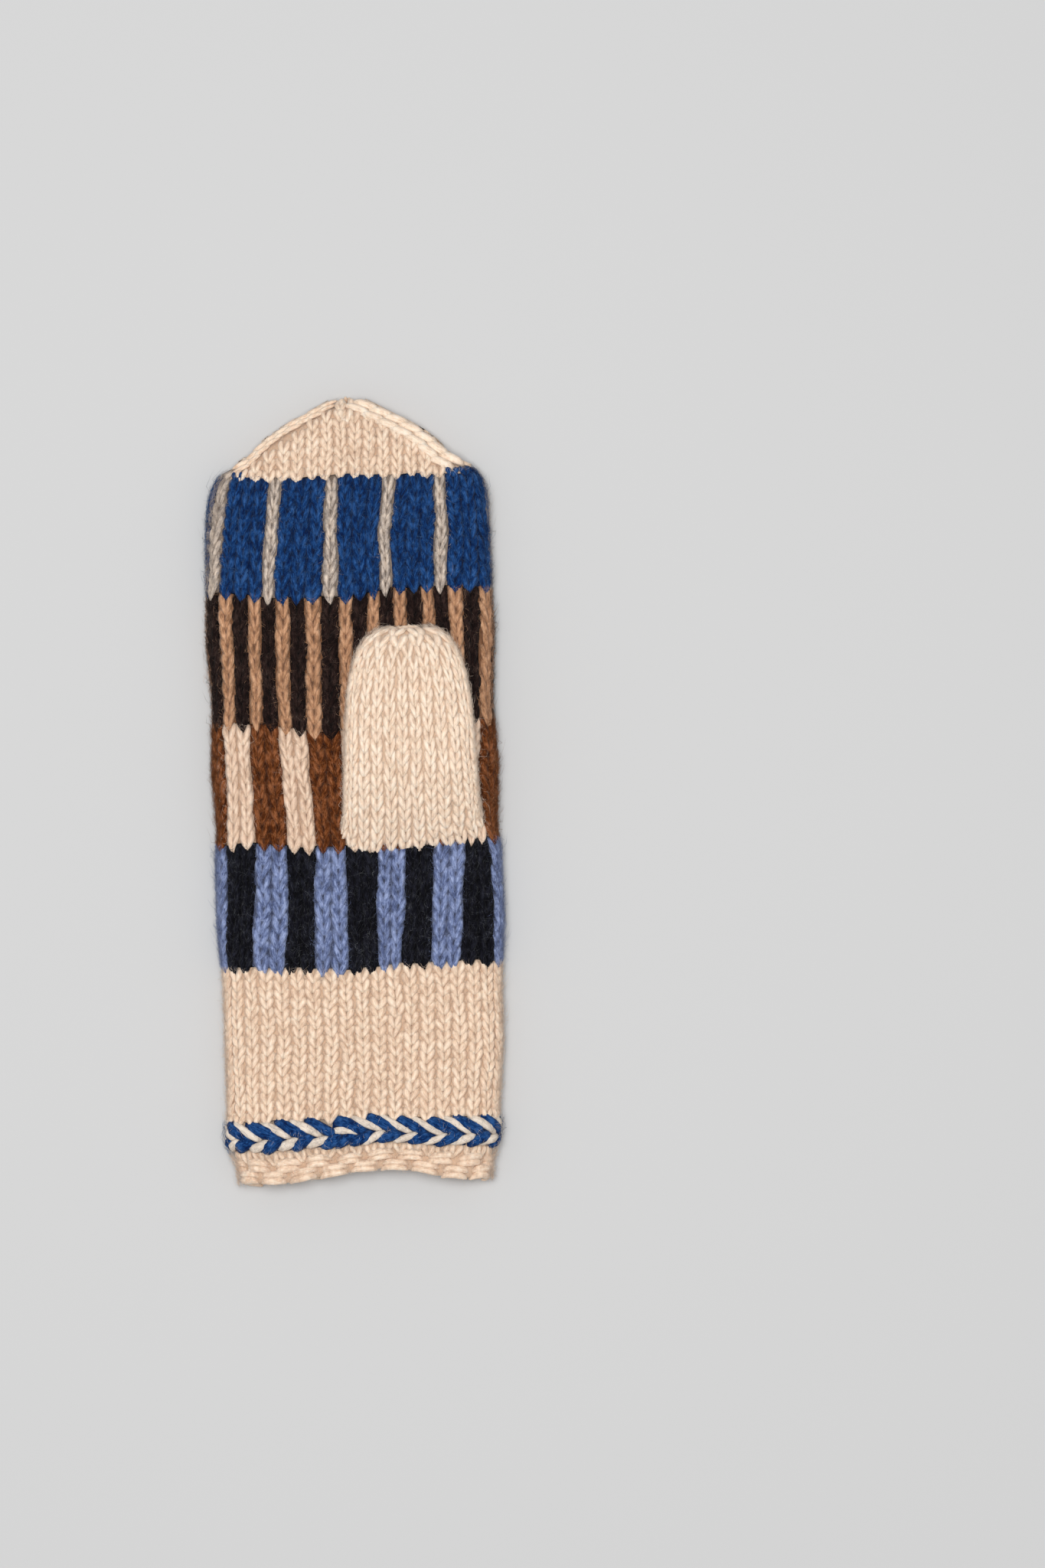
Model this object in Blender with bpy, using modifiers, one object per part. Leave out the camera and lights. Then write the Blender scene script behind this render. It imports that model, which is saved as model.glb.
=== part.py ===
"""A hand-knitted wool mitten that lies on its back, with its palm and thumb up.

Metres, +Z up. X runs across the hand and Y from the hem to the fingertips. The origin is under the
middle of the mitten's box, on the surface that it rests on.
"""

import math
from collections import namedtuple

import bmesh
import bpy
import numpy as np
from mathutils import Matrix

# Driving dimensions: widths and thicknesses as the mitten lies flat
HEM_WIDTH = 0.0905
HEM_THICKNESS = 0.0150
BRAID_WIDTH = 0.0995
BRAID_THICKNESS = 0.0168
CUFF_WIDTH = 0.0965
CUFF_THICKNESS = 0.0150
HAND_WIDTH = 0.1016
HAND_THICKNESS = 0.0162
TIP_WIDTH = 0.0800
TIP_THICKNESS = 0.0138
THUMB_WIDTH = 0.0495
THUMB_THICKNESS = 0.0130

# Lengths along the mitten, from the hem to the fingertips
HEM_LENGTH = 0.0111
BRAID_LENGTH = 0.0111
CUFF_LENGTH = 0.0532
WRIST_LENGTH = 0.0433
PALM_LENGTH = 0.0420
KNUCKLE_LENGTH = 0.0455
FINGER_LENGTH = 0.0262
SHOULDER_LENGTH = 0.0160
TIP_LENGTH = 0.0254
THUMB_LENGTH = 0.0777

# The thumb's place: its middle line, the stretch of palm that its open base covers, and how far
# its front rises straight up from the palm before it leans over
THUMB_SIDE = 0.0196
THUMB_BASE = 0.0150
THUMB_HEEL_STEP = 0.0002
THUMB_RISE = 0.0020

# Walls of knitting, and the clearance between neighbours
WALL = 0.0030
BRAID_WALL = 0.0040
GAP = 0.0003

# The straight stretch at the end of each band, which keeps its rim square
STRAIGHT_END = 0.0015

# Form of a section: the fold's height as a share of the thickness, and the roundness of the fold
FOLD_HEIGHT = 0.42
FOLD_ROUND = 1.5
HOLE_CORNER = 0.0025

# Facets round a section and over the bend at the thumb's base
HALF_FACETS = 20
THUMB_FACETS = 32
BEND_STEPS = 4
FINE_STEPS = 240

Row = namedtuple("Row", "along width thickness")
Band = namedtuple("Band", "name length width thickness wall colour rows")
Section = namedtuple("Section", "y width thickness")

# Shares of each band's own length, width and thickness
HEM_ROWS = (
    Row(0.20, 0.99, 0.97),
    Row(0.70, 1.00, 1.00),
)
BRAID_ROWS = (
    Row(0.32, 1.00, 1.00),
    Row(0.68, 1.00, 1.00),
)
CUFF_ROWS = (
    Row(0.07, 0.985, 1.00),
    Row(0.50, 0.997, 1.00),
    Row(0.93, 1.003, 1.00),
)
WRIST_ROWS = (
    Row(0.09, 0.985, 0.98),
    Row(0.35, 1.003, 1.00),
    Row(0.92, 0.998, 1.00),
)
PALM_ROWS = (
    Row(0.12, 0.975, 1.00),
    Row(0.60, 1.003, 1.00),
    Row(0.92, 0.990, 1.00),
)
KNUCKLE_ROWS = (
    Row(0.12, 0.980, 1.00),
    Row(0.65, 1.010, 1.00),
    Row(0.92, 1.000, 1.00),
)
FINGER_ROWS = (
    Row(0.24, 1.000, 1.00),
    Row(0.80, 0.990, 1.00),
)
SHOULDER_ROWS = (
    Row(0.30, 0.974, 0.97),
    Row(0.74, 0.922, 0.92),
)
TIP_ROWS = (
    Row(0.20, 0.93, 0.98),
    Row(0.47, 0.72, 0.92),
    Row(0.69, 0.48, 0.85),
    Row(0.80, 0.33, 0.79),
    Row(0.89, 0.21, 0.72),
    Row(0.955, 0.14, 0.58),
    Row(0.99, 0.07, 0.34),
)
THUMB_ROWS = (
    Row(0.20, 1.00, 1.00),
    Row(0.48, 1.00, 1.00),
    Row(0.70, 0.90, 0.96),
    Row(0.84, 0.80, 0.88),
    Row(0.92, 0.64, 0.78),
    Row(0.965, 0.44, 0.62),
    Row(0.992, 0.20, 0.36),
)

CREAM = (0.76, 0.58, 0.43)
BLUE = (0.012, 0.040, 0.130)
NAVY = (0.012, 0.012, 0.018)
BROWN = (0.130, 0.040, 0.016)
TAN = (0.390, 0.200, 0.110)
WOOL_ROUGHNESS = 0.95

BANDS = (
    Band("hem", HEM_LENGTH, HEM_WIDTH, HEM_THICKNESS, WALL, CREAM, HEM_ROWS),
    Band("braid", BRAID_LENGTH, BRAID_WIDTH, BRAID_THICKNESS, BRAID_WALL, BLUE, BRAID_ROWS),
    Band("cuff", CUFF_LENGTH, CUFF_WIDTH, CUFF_THICKNESS, WALL, CREAM, CUFF_ROWS),
    Band("wrist_band", WRIST_LENGTH, HAND_WIDTH, HAND_THICKNESS, WALL, NAVY, WRIST_ROWS),
    Band("palm_band", PALM_LENGTH, HAND_WIDTH, HAND_THICKNESS, WALL, BROWN, PALM_ROWS),
    Band("knuckle_band", KNUCKLE_LENGTH, HAND_WIDTH, HAND_THICKNESS, WALL, TAN, KNUCKLE_ROWS),
    Band("finger_band", FINGER_LENGTH, HAND_WIDTH, HAND_THICKNESS, WALL, BLUE, FINGER_ROWS),
    Band("shoulder_band", SHOULDER_LENGTH, HAND_WIDTH, HAND_THICKNESS, WALL, BLUE, SHOULDER_ROWS),
    Band("tip", TIP_LENGTH, TIP_WIDTH, TIP_THICKNESS, WALL, CREAM, TIP_ROWS),
)
TOTAL_LENGTH = sum(band.length for band in BANDS)


def clear_scene():
    """Remove everything that the scene holds."""
    for item in list(bpy.data.objects):
        bpy.data.objects.remove(item, do_unlink=True)


def new_collection(name):
    """Add a collection to the scene."""
    collection = bpy.data.collections.new(name)
    bpy.context.scene.collection.children.link(collection)
    return collection


def wool(name, colour):
    """Make a matt wool material."""
    material = bpy.data.materials.new(name)
    material.use_nodes = True
    shader = material.node_tree.nodes["Principled BSDF"]
    shader.inputs["Base Color"].default_value = (*colour, 1.0)
    shader.inputs["Roughness"].default_value = WOOL_ROUGHNESS
    shader.inputs["Metallic"].default_value = 0.0
    return material


def fold_power(half_width, height):
    """Give the power of a section's curve that keeps its fold round at any width."""
    return max(2.0, FOLD_ROUND * half_width / height)


def half_section(width, thickness, count):
    """Walk half a section from the middle of its underside, out round the fold, to its top."""
    half_width = width / 2
    under = thickness * FOLD_HEIGHT
    over = thickness - under
    turn = np.linspace(0.0, math.pi / 2, FINE_STEPS)
    low_x = half_width * np.sin(turn) ** (2 / fold_power(half_width, under))
    low_z = under * (1 - np.cos(turn))
    high_x = half_width * np.sin(turn) ** (2 / fold_power(half_width, over))
    high_z = under + over * np.cos(turn)
    x = np.concatenate([low_x, high_x[::-1][1:]])
    z = np.concatenate([low_z, high_z[::-1][1:]])
    walked = np.concatenate([[0.0], np.cumsum(np.hypot(np.diff(x), np.diff(z)))])
    stops = np.linspace(0.0, walked[-1], count + 1)
    return list(zip(np.interp(stops, walked, x), np.interp(stops, walked, z)))


def whole_section(width, thickness, count):
    """Walk a whole section from the middle of its underside, first towards +X."""
    half = half_section(width, thickness, count // 2)
    return half + [(-x, z) for x, z in half[-2:0:-1]]


def row_section(band, start, row):
    """Turn a row of shares into a section's place and size."""
    return Section(start + band.length * row.along, band.width * row.width, band.thickness * row.thickness)


def joint_section(y, before, after):
    """Give the section where two bands meet, midway between the sizes on either side."""
    return Section(y, (before.width + after.width) / 2, (before.thickness + after.thickness) / 2)


def mitten_sections():
    """List each band's sections from end to end, and where the band starts."""
    starts = [-TOTAL_LENGTH / 2]
    for band in BANDS[:-1]:
        starts.append(starts[-1] + band.length)
    inner = [[row_section(band, start, row) for row in band.rows] for band, start in zip(BANDS, starts)]
    joints = [joint_section(y, before[-1], after[0])
              for y, before, after in zip(starts[1:], inner[:-1], inner[1:])]
    mouth = Section(starts[0], inner[0][0].width, inner[0][0].thickness)
    heads = [mouth] + joints
    sections = []
    for number, rows in enumerate(inner):
        tail = joints[number:number + 1]
        sections.append([heads[number]] + rows + tail)
    return starts, sections


def squared(sections, joins_before, joins_after):
    """Draw a band in by half the clearance where it has a neighbour, and end it straight there."""
    if joins_before:
        end = sections[0]
        straight = [end._replace(y=end.y + GAP / 2), end._replace(y=end.y + STRAIGHT_END)]
        sections = straight + sections[1:]
    if joins_after:
        end = sections[-1]
        straight = [end._replace(y=end.y - STRAIGHT_END), end._replace(y=end.y - GAP / 2)]
        sections = sections[:-1] + straight
    return sections


def loft(mesh, loops, closed, pole):
    """Join loops of points with faces, and close the last loop on a point if one is given."""
    shape = bmesh.new()
    rings = [[shape.verts.new(point) for point in loop] for loop in loops]
    size = len(rings[0])
    spans = size if closed else size - 1
    for near, far in zip(rings[:-1], rings[1:]):
        for index in range(spans):
            after = (index + 1) % size
            shape.faces.new((near[index], far[index], far[after], near[after]))
    if pole is not None:
        end = shape.verts.new(pole)
        for index in range(spans):
            shape.faces.new((rings[-1][index], end, rings[-1][(index + 1) % size]))
    shape.to_mesh(mesh)
    shape.free()


def add_object(name, collection, material):
    """Add an empty mesh object with its material to a collection."""
    item = bpy.data.objects.new(name, bpy.data.meshes.new(name))
    item.data.materials.append(material)
    collection.objects.link(item)
    return item


def add_wall(item, wall):
    """Give an open surface its wall of knitting, which grows inwards."""
    solid = item.modifiers.new("wall", "SOLIDIFY")
    solid.thickness = wall
    solid.offset = -1.0
    solid.use_even_offset = True


def smooth(item):
    """Shade the soft rounds smooth and keep the rims sharp."""
    item.data.shade_smooth()
    item.data.set_sharp_from_angle(angle=math.radians(50))


def make_band(band, sections, collection):
    """Make one band of the mitten from its sections, as a half that is mirrored."""
    item = add_object(band.name, collection, wool(band.name + "_wool", band.colour))
    loops = []
    for section in sections:
        half = half_section(section.width, section.thickness, HALF_FACETS)
        loops.append([(x, section.y, z) for x, z in half])
    pole = None
    if band.name == "tip":
        pole = (0.0, TOTAL_LENGTH / 2, sections[-1].thickness * FOLD_HEIGHT)
    loft(item.data, loops, False, pole)
    mirror = item.modifiers.new("other half", "MIRROR")
    mirror.use_clip = True
    mirror.merge_threshold = 0.00001
    add_wall(item, band.wall)
    smooth(item)
    return item


def palm_height(x, y, sections):
    """Give the height of the palm's outside at a place."""
    places = [section.y for band in sections for section in band]
    half_width = np.interp(y, places, [section.width for band in sections for section in band]) / 2
    thickness = np.interp(y, places, [section.thickness for band in sections for section in band])
    over = thickness * (1 - FOLD_HEIGHT)
    across = min(abs(x) / half_width, 1.0)
    return thickness - over + over * math.sqrt(1 - across ** fold_power(half_width, over))


def thumb_loop(width, heel, front, sections):
    """Lay a loop of the thumb between its heel and its front, draped over the palm.

    The palm falls away at its fold, so the drape is read where the inside of the thumb's wall stands.
    """
    reach = math.hypot(front[0] - heel[0], front[1] - heel[1])
    inner_share = 1 - 2 * WALL / THUMB_WIDTH
    loop = []
    for across, up in whole_section(width, reach, THUMB_FACETS):
        share = up / reach
        x = THUMB_SIDE + across
        y = heel[0] + (front[0] - heel[0]) * share
        lift = heel[1] + (front[1] - heel[1]) * share
        rest = palm_height(THUMB_SIDE + across * inner_share, y, sections) + GAP
        loop.append((x, y, rest + lift))
    return loop


def make_thumb_base(start, sections, collection):
    """Make the thumb's base: a tube that rises from the palm's hole and bends to lie along the palm."""
    item = add_object("thumb_base", collection, wool("thumb_base_wool", CREAM))
    base = start + GAP / 2
    heel = base + THUMB_BASE
    loops = [thumb_loop(THUMB_WIDTH, (heel, 0.0), (base, 0.0), sections)]
    for step in range(BEND_STEPS):
        angle = math.pi / 2 * step / BEND_STEPS
        lift = THUMB_RISE + (THUMB_THICKNESS - THUMB_RISE) * math.sin(angle)
        front = (heel - THUMB_BASE * math.cos(angle), lift)
        loops.append(thumb_loop(THUMB_WIDTH, (heel + THUMB_HEEL_STEP * (step + 1), 0.0), front, sections))
    turned = heel + THUMB_HEEL_STEP * (BEND_STEPS + 1)
    for y in (turned, turned + STRAIGHT_END):
        loops.append(thumb_loop(THUMB_WIDTH, (y, 0.0), (y, THUMB_THICKNESS), sections))
    loft(item.data, loops, True, None)
    add_wall(item, WALL)
    smooth(item)
    return turned + STRAIGHT_END + GAP


def make_thumb(start, rest_start, sections, collection):
    """Make the thumb: a flat tube with a round end that lies along the palm."""
    item = add_object("thumb", collection, wool("thumb_wool", CREAM))
    base = start + GAP / 2
    rest_length = base + THUMB_LENGTH - rest_start
    loops = []
    first = THUMB_ROWS[0].along
    for row in THUMB_ROWS:
        y = rest_start + rest_length * (row.along - first) / (1 - first)
        front = (y, THUMB_THICKNESS * row.thickness)
        loops.append(thumb_loop(THUMB_WIDTH * row.width, (y, 0.0), front, sections))
    end_height = THUMB_THICKNESS * THUMB_ROWS[-1].thickness * FOLD_HEIGHT
    end_y = base + THUMB_LENGTH
    pole = (THUMB_SIDE, end_y, palm_height(THUMB_SIDE, end_y, sections) + GAP + end_height)
    loft(item.data, loops, True, pole)
    add_wall(item, WALL)
    smooth(item)
    return item


def cut_thumb_hole(palm, start, collection):
    """Cut the hole in the palm's wall that the thumb's open base sits round."""
    bpy.ops.mesh.primitive_cube_add(size=1.0)
    cutter = bpy.context.object
    cutter.name = "thumb_hole_cutter"
    bpy.context.collection.objects.unlink(cutter)
    collection.objects.link(cutter)
    length = THUMB_BASE - 2 * WALL
    width = THUMB_WIDTH - 2 * WALL
    height = HAND_THICKNESS / 2 + WALL
    cutter.data.transform(Matrix.Diagonal((width, length, height, 1.0)))
    cutter.location = (THUMB_SIDE, start + GAP / 2 + THUMB_BASE / 2, HAND_THICKNESS / 2 + height / 2)
    rounding = cutter.modifiers.new("corners", "BEVEL")
    rounding.width = HOLE_CORNER
    rounding.segments = 3
    cutter.hide_render = True
    cutter.display_type = "WIRE"
    hole = palm.modifiers.new("thumb hole", "BOOLEAN")
    hole.operation = "DIFFERENCE"
    hole.solver = "EXACT"
    hole.object = cutter


def main():
    """Build the mitten."""
    clear_scene()
    mitten = new_collection("mitten")
    cutters = new_collection("cutters")
    starts, sections = mitten_sections()
    items = {}
    for number, band in enumerate(BANDS):
        rows = squared(sections[number], number > 0, number < len(BANDS) - 1)
        items[band.name] = make_band(band, rows, mitten)
    palm_start = starts[[band.name for band in BANDS].index("palm_band")]
    thumb_start = make_thumb_base(palm_start, sections, mitten)
    make_thumb(palm_start, thumb_start, sections, mitten)
    cut_thumb_hole(items["palm_band"], palm_start, cutters)


main()
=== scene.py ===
"""The looks of a hand-knitted striped wool mitten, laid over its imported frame.

Each stitch is a loop of yarn on the mitten's surface. Metres, +Z up out of the palm and +Y towards the
fingertips. A place on the cloth is a column round it, a length along it and a height out of it.
"""

import functools
import math
from collections import namedtuple

import bpy
import numpy as np
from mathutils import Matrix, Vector


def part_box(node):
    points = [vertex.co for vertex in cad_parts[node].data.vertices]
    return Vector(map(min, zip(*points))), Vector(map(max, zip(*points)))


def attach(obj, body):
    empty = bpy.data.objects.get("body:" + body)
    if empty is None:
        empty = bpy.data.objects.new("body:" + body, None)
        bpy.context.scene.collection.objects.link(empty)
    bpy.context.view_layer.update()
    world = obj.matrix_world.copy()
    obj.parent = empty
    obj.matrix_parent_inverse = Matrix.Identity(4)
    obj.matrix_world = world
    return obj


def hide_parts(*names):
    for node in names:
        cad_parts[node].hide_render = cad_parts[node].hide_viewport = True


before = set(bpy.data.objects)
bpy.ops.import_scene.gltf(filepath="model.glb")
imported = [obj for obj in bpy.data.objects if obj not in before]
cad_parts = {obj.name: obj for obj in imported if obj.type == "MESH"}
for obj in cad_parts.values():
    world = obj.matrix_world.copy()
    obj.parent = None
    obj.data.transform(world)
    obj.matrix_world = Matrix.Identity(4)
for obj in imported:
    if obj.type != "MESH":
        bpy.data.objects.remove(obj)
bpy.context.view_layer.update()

MM = 0.001
BODY = "root"

# The camera looks straight down, turned a little, on a frame this high at this level above the floor
FRAME_HEIGHT = 547.6 * MM
FRAME_LEVEL = 8.0 * MM
CAMERA_HEIGHT = 3.008
CAMERA_TURN = math.radians(1.5)
CAMERA_RIGHT = 58.4 * MM
CAMERA_UP = 1.9 * MM
SENSOR = 36.0

# One soft lamp and the studio's own light, over a plain pale floor
LAMP_PLACE = (-0.1, 0.12, 2.1)
LAMP_SIZE = 0.8
LAMP_POWER = 35.5
STUDIO_LIGHT = 0.4
PAPER = (0.58, 0.58, 0.58, 1.0)

# The cloth: how finely it is mapped, how far below the hem it starts, and the form of a section
CLOTH_START = 4.0 * MM
LEVEL_STEP = 0.5 * MM
COLUMN_STEPS = 10
FINE_STEPS = 160
FOLD_HEIGHT = 0.42
FOLD_ROUND = 1.5
EASE_LEVELS = 7

# Each cloth's stitches: columns round it, their distance, and how many keep it on each side of the middle
HAND = (40, 5.18 * MM, 8.5)
TIP = (40, 4.97 * MM, 10)
CUFF = (38, 5.6 * MM, 6)
RIM = (40, 5.45 * MM, 0)
THUMB_COLUMNS = 24
THUMB_PITCH = 4.97 * MM
THUMB_PLAIN = 4.5
# How many stitches the thumb's last rows have, counted from its end
THUMB_CLOSING = {1: 8, 2: 12, 3: 18}

# The thumb: where it lies and how long it is, how its front slopes up, and how its base hangs
THUMB_LOOPS = 90
THUMB_ROUND = 0.9
THUMB_FOOT = 0.88
THUMB_SIDE = 19.6 * MM
THUMB_WIDTH = 49.5 * MM
THUMB_THICKNESS = 13.0 * MM
THUMB_BASE = 15.0 * MM
THUMB_SLOPE = 30.0 * MM
THUMB_LENGTH = 76.0 * MM
THUMB_DROP = 1.7 * MM
THUMB_HANG = 2.4 * MM
THUMB_HANG_MIDDLE = -8.0
THUMB_HANG_SPREAD = 26.0
THUMB_LIFTED = 9.0 * MM
# How far the thumb stays off the palm, and the yarn off the floor
GAP = 0.3 * MM
FLOOR_CLEARANCE = 0.06 * MM

# Painted shade: how light the yarn's colour is painted on the backing, at the bottom of a stitch and inside,
# and the backing's place
DEEP_SHADE = 0.25
LOW_SHADE = 0.55
INSIDE_SHADE = 0.85
BACKING_DEPTH = 1.35 * MM
BACKING_WALL = 1.4 * MM

Cloth = namedtuple("Cloth", "points outward start step around pitch sags drifts")
# A shape's and a mesh's shade is painted shade: how light each point's colour is painted
Shape = namedtuple("Shape", "points faces fibre shade")
Stop = namedtuple("Stop", "across along out wide high")
Mesh = namedtuple("Mesh", "points faces fibre yarn shade")

# The mitten's outline: how far along each band, and the width and thickness there in mm
OUTLINE = {
    "hem": ((0.2, 87.0, 14.6), (0.7, 88.0, 15.0)),
    "braid": ((0.32, 95.5, 16.8), (0.68, 95.5, 16.8)),
    "cuff": ((0.07, 95.1, 15.0), (0.5, 97.0, 15.0), (0.93, 97.3, 15.0)),
    "wrist_band": ((0.09, 98.6, 15.9), (0.35, 100.3, 16.2), (0.92, 99.7, 16.2)),
    "palm_band": ((0.12, 97.7, 16.2), (0.6, 100.4, 16.2), (0.92, 99.0, 16.2)),
    "knuckle_band": ((0.12, 97.7, 16.2), (0.65, 100.7, 16.2), (0.92, 99.8, 16.2)),
    "finger_band": ((0.15, 99.7, 16.2), (0.5, 98.8, 16.2), (0.74, 98.0, 15.7), (0.9, 94.6, 15.0),
                    (0.97, 90.5, 14.6)),
    "tip": ((0.0, 86.5, 14.2), (0.08, 77.0, 13.9), (0.2, 69.0, 13.5), (0.32, 63.5, 13.1),
            (0.44, 56.0, 12.7), (0.56, 47.0, 12.2), (0.68, 36.5, 11.7), (0.8, 24.5, 10.9),
            (0.89, 15.8, 9.9), (0.955, 10.6, 8.0), (1.0, 4.5, 4.0)),
}

# How far the middle of each band lies to the right, in mm
LEANS = {"hem": -0.1, "braid": -0.4, "cuff": 0.8, "wrist_band": 0.6, "palm_band": 0.1,
         "knuckle_band": -0.4, "finger_band": -0.4, "tip": 0.7}

# The thumb's outline: how far along it, and the width and thickness there as shares of its own
THUMB_OUTLINE = (
    (0.0, 1.01, 1.0), (0.045, 0.965, 1.0), (0.34, 0.93, 1.0), (0.5, 0.915, 1.0),
    (0.67, 0.868, 0.98), (0.76, 0.82, 0.95), (0.828, 0.765, 0.91), (0.89, 0.685, 0.84),
    (0.938, 0.575, 0.73), (0.975, 0.43, 0.56), (1.0, 0.25, 0.34),
)

# How wide each yarn's columns come out, where two yarns share a row
YARN_WIDTHS = {
    "wrist_band": {"periwinkle": 1.02, "navy": 1.0},
    "palm_band": {"brown": 1.03, "oat": 0.97},
    "knuckle_band": {"black": 1.09, "tan": 0.89},
    "finger_band": {"stone": 0.81, "blue": 1.06},
}

# Which yarn each column takes, repeated round the hand
CHARTS = {
    "hem": ("cream",),
    "braid": ("blue", "linen"),
    "cuff": ("cream",),
    "wrist_band": ("periwinkle", "navy", "navy", "periwinkle"),
    "palm_band": ("brown", "oat", "oat", "brown"),
    "knuckle_band": ("black", "tan"),
    "finger_band": ("stone", "blue", "blue", "blue"),
    "tip": ("cream",),
    "thumb": ("pale",),
}
# The pieces that stand for more than their own node
NODES = {"finger_band": ("finger_band", "shoulder_band"), "thumb": ("thumb", "thumb_base")}
# Each piece's loose fibres, how far out they start in mm, and its rows of stitches
HAIRS = {"hem": 3500, "braid": 700, "cuff": 11500, "wrist_band": 11500, "palm_band": 10000,
         "knuckle_band": 11500, "finger_band": 12000, "tip": 5000, "thumb": 7500}
HAIR_LEVELS = {"hem": 0.9, "braid": 1.0}
ROWS = {"hem": 2, "braid": 2, "cuff": 16, "wrist_band": 9, "palm_band": 9, "knuckle_band": 9,
        "finger_band": 9, "tip": 8, "thumb": 20}

# How columns and rows wave: size, turns round the mitten, length in mm and shift
COLUMN_WAVES = ((0.03, 4, 5.7, 0.0), (0.03, 13, 3.1, 1.1))
ROW_WAVES = ((0.28, 7, 11.0, 0.0), (0.25, 17, 23.0, 2.0))
# How sharply the rows' sag ends at the folds
SAG_EDGE = 1.8
# How uneven stitches are: in size, tilt, place across and along, and height in mm
UNEVEN_SIZE = 0.06
UNEVEN = (UNEVEN_SIZE, 0.05, 0.03, 0.04, 0.08)
UNEVEN_STRAND = 0.05
# How far apart in the noise the strands lie, and a second leg and a second ply
NOISE_LENGTH = 900.0
LEG_SHIFT = 7.7
PLY_SHIFT = 5.3

# Loose fibres: the shares on the palm's side, at the folds, far astray and lighter than their yarn
HAIRS_ON_PALM = 0.78
HAIRS_AT_FOLDS = 0.26
HAIRS_ASTRAY = 0.07
HAIRS_LIGHTER = 0.6
# Their lengths and radii in mm, how steeply they rise, and how much more they do at the folds
HAIR_LENGTHS = (1.4, 3.6)
ASTRAY_LENGTHS = (4.0, 9.0)
HAIR_RADII = (0.026, 0.042)
HAIR_RISE = 0.22
FOLD_RISE = 2.2

# Where the halves of the braid's strands start and end: columns further on, and heights of the braid up
UPPER_STRAND = ((0.0, 1.02), (2.35, 0.4))
LOWER_STRAND = ((0.95, 0.02), (2.75, 0.4))
BRAID_SLIP = 0.12
# Where the braid's round closes, the upper half is a short oval and the lower half is blue
BRAID_JOIN = 7
JOIN_STRAND = ((0.9, 0.6), (2.9, 0.46))
# The braid's blue strands are thicker than its pale ones
STRAND_SIZES = {"blue": 1.1, "linen": 0.78}

# The path of a stitch's right leg: across and out in columns, along in rows, and its two radii
LEG = (
    Stop(0.05, -0.64, -0.27, 0.045, 0.045),
    Stop(0.072, -0.5, -0.18, 0.115, 0.1),
    Stop(0.11, -0.28, -0.148, 0.172, 0.14),
    Stop(0.165, -0.04, -0.15, 0.214, 0.165),
    Stop(0.234, 0.2, -0.158, 0.23, 0.178),
    Stop(0.276, 0.45, -0.175, 0.234, 0.18),
    Stop(0.296, 0.7, -0.212, 0.22, 0.165),
    Stop(0.297, 0.92, -0.285, 0.174, 0.13),
    Stop(0.28, 1.08, -0.39, 0.06, 0.05),
)

# A strand of the braid and one ply of a purl bump, along their length, and otherwise in mm
BRAID_STRAND = (
    Stop(0.0, 0.0, -2.6, 0.5, 0.4),
    Stop(0.0, 0.06, -1.7, 1.3, 1.0),
    Stop(0.0, 0.18, -0.9, 1.8, 1.4),
    Stop(0.0, 0.4, -0.5, 2.0, 1.6),
    Stop(0.0, 0.65, -0.5, 2.0, 1.6),
    Stop(0.0, 0.84, -0.9, 1.8, 1.4),
    Stop(0.0, 0.95, -1.6, 1.3, 1.0),
    Stop(0.0, 1.0, -2.3, 0.5, 0.4),
)
BUMP = (
    Stop(-0.9, -0.465, -2.6, 0.3, 0.3),
    Stop(-0.5, -0.415, -1.5, 0.9, 0.9),
    Stop(0.1, -0.28, -0.6, 1.3, 1.4),
    Stop(0.3, 0.0, -0.2, 1.4, 1.6),
    Stop(0.1, 0.28, -0.6, 1.3, 1.4),
    Stop(-0.5, 0.415, -1.5, 0.9, 0.9),
    Stop(-0.9, 0.465, -2.6, 0.3, 0.3),
)

# How far apart a purl bump's two plies lie, in mm, and how they differ along and out
BUMP_PLY = 2.2
PLY_STEP = (0.025, 0.1)
# The hem: its bumps round, where its row of stitches and its rows of bumps lie, and how bumps differ in mm
HEM_BUMPS = 18
HEM_ROW = 0.76
BUMP_ROWS = (0.57, 0.2)
BUMP_PLACES = (-0.3, 0.3)
BUMP_SLANTS = (-0.1, 0.9)
HEM_INSET = 0.4 * MM

# How far out the blue shoulders start, and how high their part row is
SHOULDER_LEFT = 44.0 * MM
SHOULDER_RIGHT = 37.0 * MM
SHOULDER_ROW = 2.6 * MM

# How far the tip's stitches stay inside its edges on the palm, pass them underneath, and stop short
TIP_LEFT = 1.6 * MM
TIP_RIGHT = 3.4 * MM
TIP_UNDER = 0.5 * MM
TIP_CLOSE = 2.0 * MM
# The chain of decreases at each edge of the tip: its side, width, stitches' length and yarn
CHAINS = ((-1, 3.2 * MM, 4.4 * MM, "cream"), (1, 5.8 * MM, 5.8 * MM, "pale"))
CHAIN_ENDS = 1.6 * MM
CHAIN_MEET = 1.2 * MM
CHAIN_EDGE = 0.98
CHAIN_LEAN = 0.55
CHAIN_AHEAD = 0.3 * MM
# The stitches that gather the very end: across, along, face and dip, in mm
KNOB = ((0.0, -7.5, 1, 0.0), (0.4, -3.9, 1, 1.4), (0.0, -7.0, -1, 0.0), (0.0, -3.9, -1, 1.4))
KNOB_SIZE = (5.6, 3.4, 4.2)
KNOB_LIFT = 0.3 * MM

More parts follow.
